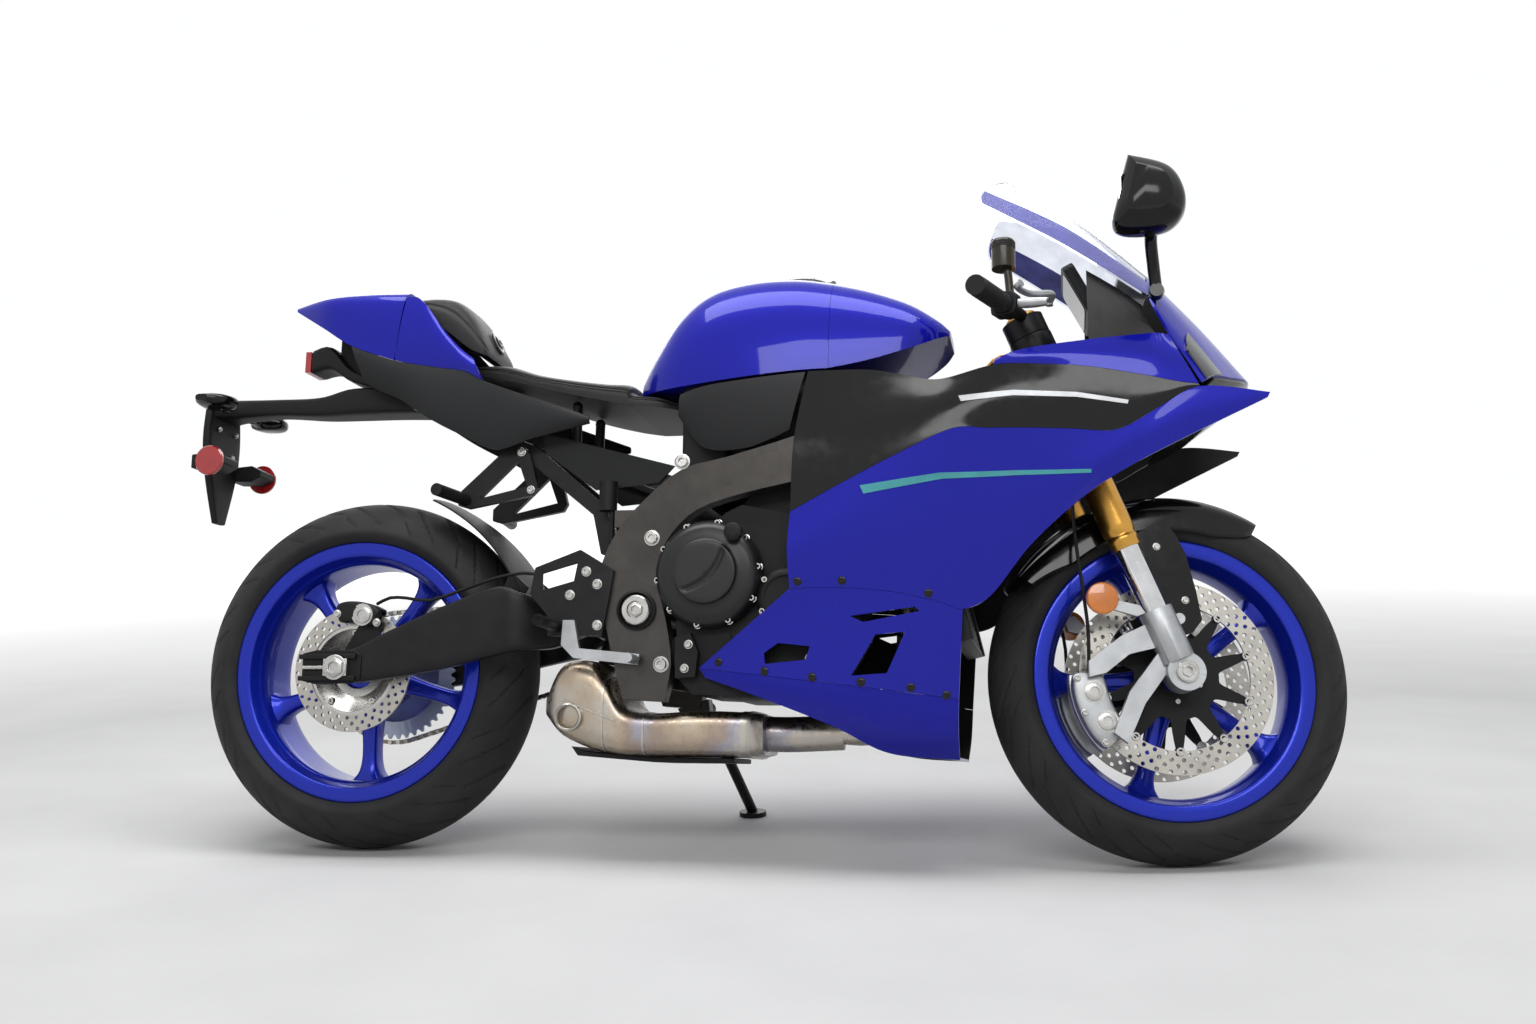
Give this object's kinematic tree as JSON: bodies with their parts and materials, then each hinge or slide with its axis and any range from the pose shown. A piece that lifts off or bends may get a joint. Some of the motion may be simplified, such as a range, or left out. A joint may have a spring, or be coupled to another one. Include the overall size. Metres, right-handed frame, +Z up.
{
  "type": "sport motorcycle",
  "caption": "Full-fairing road sport motorcycle parked on its side stand, with turning wheels, steered fork, folding stand and hinged filler lid.",
  "frame": {"origin": "middle of the bounding box on the road, under the leaning machine", "axes": "+X forward, +Y to the rider's left, +Z up from the road"},
  "size_m": [2.0649, 0.7153, 1.1615],
  "materials": {
    "frame_alu": "satin dark grey",
    "dark_steel": "satin black",
    "bare_steel": "brushed",
    "tank_blue": "gloss deep blue",
    "paint_blue": "gloss deep blue",
    "matte_black": "matte",
    "seat_cover": "grained",
    "red_lens": "gloss",
    "cast_alu": "satin cast",
    "smoked_bottle": "translucent",
    "lamp_lens": "clear lens",
    "gloss_black": "gloss",
    "clear_screen": "clear",
    "gold_anodised": "gold anodised",
    "chrome_steel": "polished",
    "soft_rubber": "matt",
    "rim_blue": "blue metallic",
    "tyre_rubber": "matt"
  },
  "bodies": {
    "chassis": {"frame": "frame_alu", "subframe": "dark_steel", "swingarm": "dark_steel", "pivot_shaft": "bare_steel", "rear_axle": "bare_steel", "engine": "frame_alu", "engine_covers": "dark_steel", "silencer": "dark_steel", "headers": "bare_steel", "radiator": "frame_alu", "fuel_tank": "tank_blue", "tank_cover": "paint_blue", "knee_panels": "matte_black", "rider_seat": "seat_cover", "pillion_seat": "seat_cover", "tail_cowl": "paint_blue", "tail_sides": "matte_black", "plate_arm": "matte_black", "rear_lamps": "red_lens", "hugger": "matte_black", "rear_shock": "dark_steel", "footrests": "dark_steel", "foot_controls": "cast_alu", "rear_caliper": "dark_steel", "chain": "bare_steel", "rear_brake_line": "smoked_bottle", "headlamps": "lamp_lens", "side_fairing": "paint_blue", "belly_pan": "paint_blue", "side_infill": "gloss_black", "upper_cowl": "paint_blue", "nose": "paint_blue", "chin": "gloss_black", "windscreen": "clear_screen", "inner_cowl": "matte_black", "fairing_stay": "dark_steel", "dash": "gloss_black", "mirrors": "gloss_black"},
    "steering": {"triple_clamps": "dark_steel", "fork_tubes": "gold_anodised", "fork_sliders": "chrome_steel", "fork_feet": "cast_alu", "front_axle": "bare_steel", "front_calipers": "cast_alu", "handlebars": "dark_steel", "grips": "soft_rubber", "bar_controls": "cast_alu", "brake_reservoir": "smoked_bottle", "front_fender": "gloss_black", "brake_hoses": "soft_rubber", "fork_reflectors": "red_lens"},
    "front_wheel": {"front_rim": "rim_blue", "front_tyre": "tyre_rubber", "front_discs": "bare_steel"},
    "rear_wheel": {"rear_rim": "rim_blue", "rear_tyre": "tyre_rubber", "rear_disc": "bare_steel", "rear_sprocket": "bare_steel"},
    "side_stand": {"side_stand": "dark_steel"},
    "filler_lid": {"filler_lid": "gloss_black"}
  },
  "joints": [
    {"name": "rear_wheel_spin", "type": "hinge", "parent": "chassis", "child": "rear_wheel", "pos_m": [-0.68161, -0.12779, 0.31096], "axis": [-0.0005, 0.9816, -0.1908], "continuous": true},
    {"name": "steering_turn", "type": "hinge", "parent": "chassis", "child": "steering", "pos_m": [0.51837, -0.04345, 0.74181], "axis": [-0.382, 0.1762, 0.9072], "range_deg": [-40, 14]},
    {"name": "front_wheel_spin", "type": "hinge", "parent": "steering", "child": "front_wheel", "pos_m": [0.73767, -0.12442, 0.29111], "axis": [-0.2084, 0.94, -0.2702], "continuous": true},
    {"name": "side_stand_fold", "type": "hinge", "parent": "chassis", "child": "side_stand", "pos_m": [-0.09184, 0.02979, 0.21872], "axis": [0.1246, 0.8783, 0.4617], "range_deg": [0, 107.7]},
    {"name": "filler_lid_open", "type": "hinge", "parent": "chassis", "child": "filler_lid", "pos_m": [0.17415, 0.00634, 0.99886], "axis": [-0.0005, 0.9816, -0.1908], "range_deg": [0, 100]}
  ]
}
